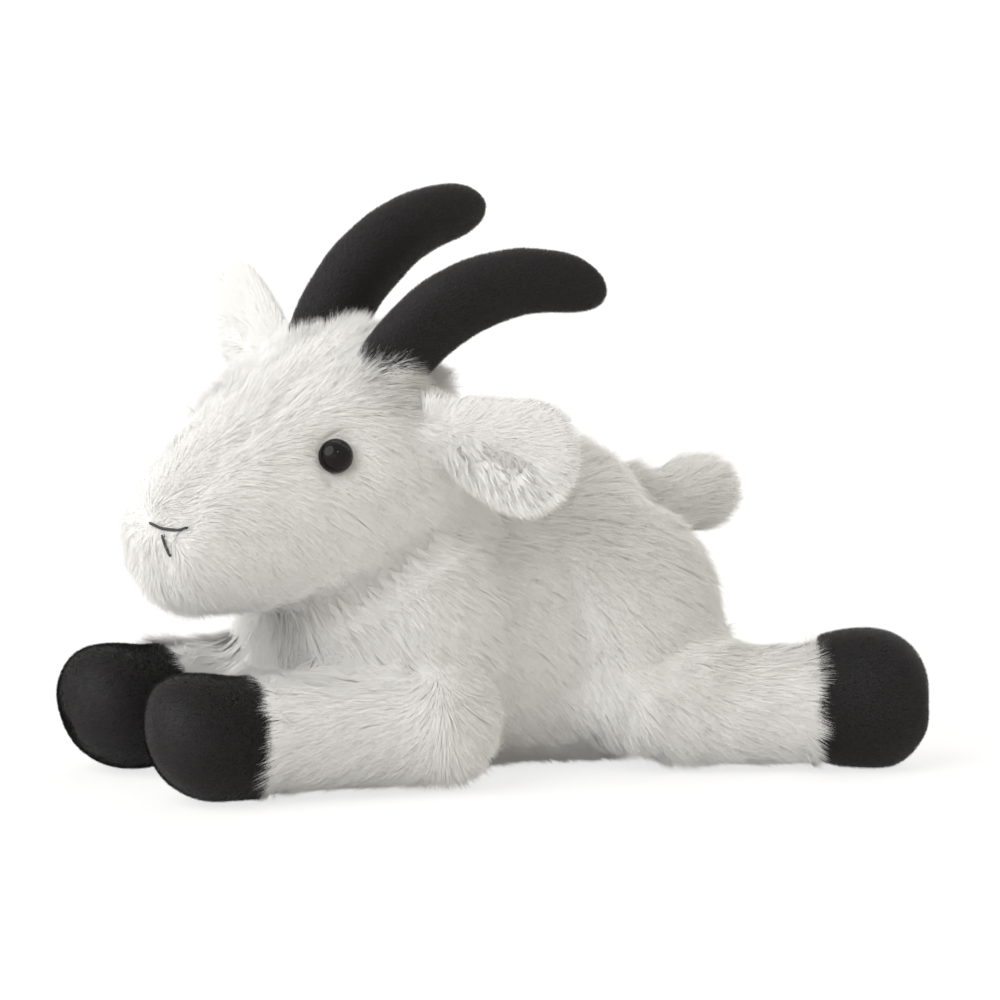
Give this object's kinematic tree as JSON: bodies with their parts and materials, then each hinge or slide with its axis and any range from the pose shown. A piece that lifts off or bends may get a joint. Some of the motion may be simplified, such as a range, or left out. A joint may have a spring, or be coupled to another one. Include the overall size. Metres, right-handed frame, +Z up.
{
  "type": "stuffed toy goat",
  "caption": "Soft plush mountain goat lying on its belly, with curved dark horns and hooves, flap ears, a stub tail and legs that splay.",
  "frame": {"origin": "middle of the footprint, on the floor the goat lies on", "axes": "the goat faces -Y, its left is +X, +Z is up"},
  "size_m": [0.2088, 0.2754, 0.2004],
  "materials": {
    "long_pile": "white long-pile plush",
    "short_pile": "white short-pile plush",
    "black_velboa": "black short-pile velboa",
    "eye_plastic": "polished black",
    "washer_plastic": "natural moulded",
    "black_thread": "twisted thread",
    "white_thread": "twisted thread",
    "polyester_fill": "loose fibre fill",
    "pellet_cloth": "plain woven bag"
  },
  "bodies": {
    "torso": {"body_side_left": "long_pile", "body_side_right": "long_pile", "belly_panel": "long_pile", "body_stuffing": "polyester_fill", "pellet_bag": "pellet_cloth", "belly_closing_stitch": "white_thread"},
    "neck": {"neck_stuffing": "polyester_fill"},
    "head": {"head_gusset": "long_pile", "head_side_left": "long_pile", "head_side_right": "long_pile", "chin_panel": "long_pile", "head_stuffing": "polyester_fill", "nose_stitch": "black_thread", "mouth_stitch": "black_thread", "eye_left": "eye_plastic", "eye_right": "eye_plastic", "eye_washer_left": "washer_plastic", "eye_washer_right": "washer_plastic"},
    "tail": {"tail_skin": "long_pile", "tail_stuffing": "polyester_fill"},
    "ear_left": {"ear_outer_left": "long_pile", "ear_lining_left": "short_pile"},
    "horn_left": {"horn_skin_left": "black_velboa", "horn_stuffing_left": "polyester_fill"},
    "foreleg_left": {"foreleg_left_skin": "long_pile", "foreleg_left_stuffing": "polyester_fill", "foreleg_left_hoof_cover": "black_velboa", "foreleg_left_hoof_stuffing": "polyester_fill"},
    "hindleg_left": {"hindleg_left_skin": "long_pile", "hindleg_left_stuffing": "polyester_fill", "hindleg_left_hoof_cover": "black_velboa", "hindleg_left_hoof_stuffing": "polyester_fill"},
    "ear_right": {"ear_outer_right": "long_pile", "ear_lining_right": "short_pile"},
    "horn_right": {"horn_skin_right": "black_velboa", "horn_stuffing_right": "polyester_fill"},
    "foreleg_right": {"foreleg_right_skin": "long_pile", "foreleg_right_stuffing": "polyester_fill", "foreleg_right_hoof_cover": "black_velboa", "foreleg_right_hoof_stuffing": "polyester_fill"},
    "hindleg_right": {"hindleg_right_skin": "long_pile", "hindleg_right_stuffing": "polyester_fill", "hindleg_right_hoof_cover": "black_velboa", "hindleg_right_hoof_stuffing": "polyester_fill"}
  },
  "joints": [
    {"name": "head_turn", "type": "hinge", "parent": "torso", "child": "neck", "pos_m": [0, -0.031, 0.084], "axis": [0, 0, 1], "range_deg": [-15, 15], "stiffness_Nm_per_rad": 0.8},
    {"name": "head_nod", "type": "hinge", "parent": "neck", "child": "head", "pos_m": [0, -0.031, 0.084], "axis": [0.9848, 0.1736, 0], "range_deg": [-12, 4], "stiffness_Nm_per_rad": 1},
    {"name": "tail_wag", "type": "hinge", "parent": "torso", "child": "tail", "pos_m": [0, 0.071, 0.085], "axis": [0, 0, 1], "range_deg": [-20, 20], "stiffness_Nm_per_rad": 0.02},
    {"name": "ear_left_flap", "type": "hinge", "parent": "head", "child": "ear_left", "pos_m": [0.04967, -0.03747, 0.1264], "axis": [0.1456, 0.0257, 0.989], "range_deg": [-20, 20], "stiffness_Nm_per_rad": 0.03},
    {"name": "horn_left_bend", "type": "hinge", "parent": "head", "child": "horn_left", "pos_m": [0.03044, -0.04594, 0.14209], "axis": [0.974, 0.1717, -0.1478], "range_deg": [-12, 12], "stiffness_Nm_per_rad": 0.1},
    {"name": "foreleg_left_splay", "type": "hinge", "parent": "torso", "child": "foreleg_left", "pos_m": [0.045, -0.035, 0.024], "axis": [0, 0, 1], "range_deg": [-3, 25]},
    {"name": "hindleg_left_splay", "type": "hinge", "parent": "torso", "child": "hindleg_left", "pos_m": [0.052, 0.057, 0.024], "axis": [0, 0, 1], "range_deg": [-25, 10]},
    {"name": "ear_right_flap", "type": "hinge", "parent": "head", "child": "ear_right", "pos_m": [-0.0302, -0.05155, 0.13852], "axis": [0.3965, 0.0333, 0.9174], "range_deg": [-20, 20], "stiffness_Nm_per_rad": 0.03},
    {"name": "horn_right_bend", "type": "hinge", "parent": "head", "child": "horn_right", "pos_m": [-0.00559, -0.05229, 0.14756], "axis": [0.974, 0.1717, -0.1478], "range_deg": [-12, 12], "stiffness_Nm_per_rad": 0.1},
    {"name": "foreleg_right_splay", "type": "hinge", "parent": "torso", "child": "foreleg_right", "pos_m": [-0.045, -0.035, 0.024], "axis": [0, 0, 1], "range_deg": [-25, 3]},
    {"name": "hindleg_right_splay", "type": "hinge", "parent": "torso", "child": "hindleg_right", "pos_m": [-0.052, 0.057, 0.024], "axis": [0, 0, 1], "range_deg": [-10, 25]}
  ]
}
